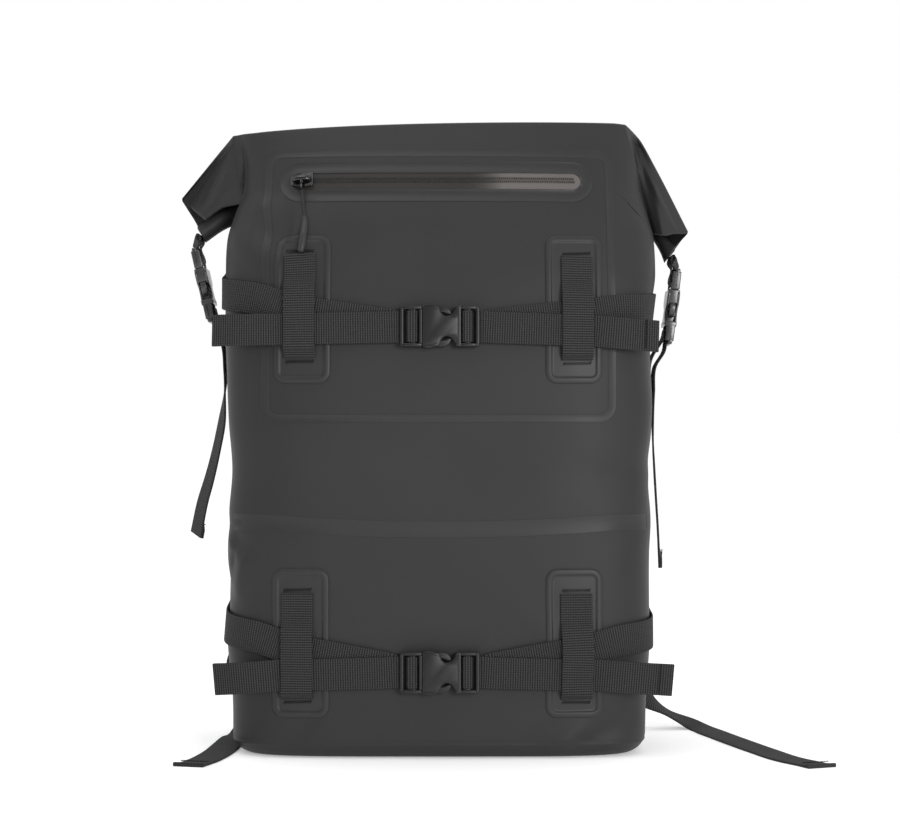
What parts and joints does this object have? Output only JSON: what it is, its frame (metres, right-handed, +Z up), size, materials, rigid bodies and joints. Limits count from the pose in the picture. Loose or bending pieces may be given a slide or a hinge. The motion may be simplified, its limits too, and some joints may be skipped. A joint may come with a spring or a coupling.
{
  "type": "waterproof backpack",
  "caption": "Dark grey waterproof roll-top backpack with a welded zip pocket, front compression straps, side buckles and padded shoulder straps.",
  "frame": {"origin": "centre of the base on the floor", "axes": "+X to the right seen from the front, the front faces -Y, +Z is up"},
  "size_m": [0.5137, 0.2575, 0.5079],
  "materials": {
    "coated_fabric": "matte coated fabric with a fine weave",
    "welded_tape": "smooth welded film with a satin sheen",
    "zip_tape": "coated zip tape",
    "webbing": "ribbed woven webbing",
    "zip_cord": "braided cord",
    "padding": "padded fabric with stitched edges",
    "grip_rubber": "soft moulded plastic",
    "buckle_plastic": "moulded plastic with a satin sheen"
  },
  "bodies": {
    "root": {"bag_body": "coated_fabric", "compression_strap_lower_left": "webbing", "compression_strap_lower_right": "webbing", "compression_strap_upper_left": "webbing", "compression_strap_upper_right": "webbing", "ear_loop_left": "webbing", "ear_loop_right": "webbing", "front_buckle_prongs_lower": "buckle_plastic", "front_buckle_prongs_upper": "buckle_plastic", "front_buckle_socket_lower": "buckle_plastic", "front_buckle_socket_upper": "buckle_plastic", "ladder_lock_left": "buckle_plastic", "ladder_lock_right": "buckle_plastic", "loop_patch_lower_left": "welded_tape", "loop_patch_lower_right": "welded_tape", "loop_patch_upper_left": "welded_tape", "loop_patch_upper_right": "welded_tape", "lower_anchor_left": "welded_tape", "lower_anchor_right": "welded_tape", "lower_strap_left": "webbing", "lower_strap_right": "webbing", "middle_seam_tape": "welded_tape", "pocket_tape": "welded_tape", "rolled_top": "coated_fabric", "shoulder_strap_left": "padding", "shoulder_strap_right": "padding", "shoulder_tab_left": "webbing", "shoulder_tab_right": "webbing", "shoulder_yoke": "welded_tape", "side_buckle_prongs_left": "buckle_plastic", "side_buckle_prongs_right": "buckle_plastic", "side_buckle_socket_left": "buckle_plastic", "side_buckle_socket_right": "buckle_plastic", "side_strap_left": "webbing", "side_strap_right": "webbing", "strap_loop_lower_left": "webbing", "strap_loop_lower_right": "webbing", "strap_loop_upper_left": "webbing", "strap_loop_upper_right": "webbing", "zip_frame": "welded_tape", "zip_pull_cord": "zip_cord", "zip_pull_grip": "grip_rubber", "zip_slider": "buckle_plastic", "zip_tape": "zip_tape", "zip_teeth": "buckle_plastic"}
  },
  "joints": []
}
